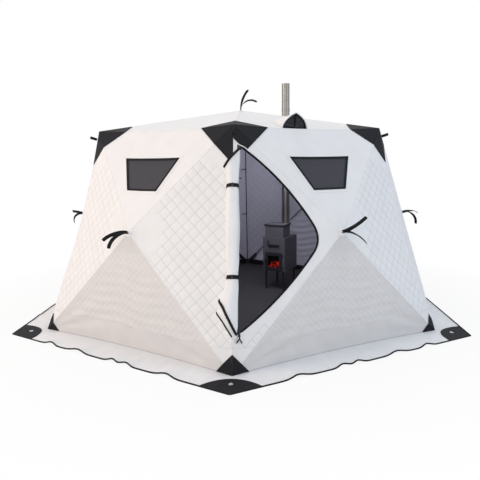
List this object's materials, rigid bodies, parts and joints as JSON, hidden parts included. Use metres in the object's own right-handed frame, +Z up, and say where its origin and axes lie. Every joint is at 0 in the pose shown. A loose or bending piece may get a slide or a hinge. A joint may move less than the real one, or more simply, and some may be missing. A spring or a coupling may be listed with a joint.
{
  "type": "ice fishing hut",
  "caption": "Quilted pop-up hub shelter with a hexagonal plan, snow skirt, rolled zip door, mesh windows, roof vent and a tent stove with its flue through the roof.",
  "frame": {"origin": "centre of the floor, on the ground", "axes": "+Z up, the front corner beside the door towards -Y, the door wall on the +X side of it"},
  "size_m": [4.1326, 4.772, 2.48],
  "materials": {
    "white_fabric": "matte quilted polyester",
    "skirt_fabric": "matte single-layer polyester",
    "dark_fabric": "matte reinforced nylon",
    "webbing": "matte woven webbing",
    "eyelet_metal": "plain pressed metal",
    "window_mesh": "fine dark mesh behind clear film",
    "hub_plastic": "moulded nylon",
    "pole_fibreglass": "solid glass-fibre rod",
    "mat_rubber": "matte foam-backed mat",
    "stove_steel": "brushed stainless steel",
    "stove_black": "heat-proof matte black paint",
    "stove_glass": "smoked ceramic glass"
  },
  "bodies": {
    "hut": {"front_right_wall": "white_fabric", "right_wall": "white_fabric", "back_right_wall": "white_fabric", "back_left_wall": "white_fabric", "left_wall": "white_fabric", "front_left_wall": "white_fabric", "door_panel": "white_fabric", "front_right_roof": "white_fabric", "right_roof": "white_fabric", "back_right_roof": "white_fabric", "back_left_roof": "white_fabric", "left_roof": "white_fabric", "front_left_roof": "white_fabric", "front_right_skirt": "skirt_fabric", "right_skirt": "skirt_fabric", "back_right_skirt": "skirt_fabric", "back_left_skirt": "skirt_fabric", "left_skirt": "skirt_fabric", "front_left_skirt": "skirt_fabric", "corner_caps": "dark_fabric", "foot_patches": "dark_fabric", "skirt_patches": "dark_fabric", "eyelets": "eyelet_metal", "guy_tabs": "webbing", "window_panes": "window_mesh", "window_trims": "webbing", "wall_hubs": "hub_plastic", "roof_hub": "hub_plastic", "wall_poles": "pole_fibreglass", "roof_poles": "pole_fibreglass", "top_joints": "hub_plastic", "base_joints": "hub_plastic", "pull_straps": "webbing", "door_zip": "webbing", "door_roll": "white_fabric", "door_ties": "webbing", "vent_hood": "white_fabric", "vent_mesh": "window_mesh", "floor_mat": "mat_rubber", "stove_body": "stove_steel", "stove_legs": "stove_black", "stove_top_box": "stove_steel", "flue_pipe": "stove_steel", "flue_jack": "stove_black"},
    "stove_door": {"stove_door": "stove_black", "stove_glass": "stove_glass"}
  },
  "joints": [
    {"name": "stove_door_hinge", "type": "hinge", "parent": "hut", "child": "stove_door", "pos_m": [0.46413, 0.37404, 0.351], "axis": [0, 0, 1], "range_deg": [0, 110]}
  ]
}
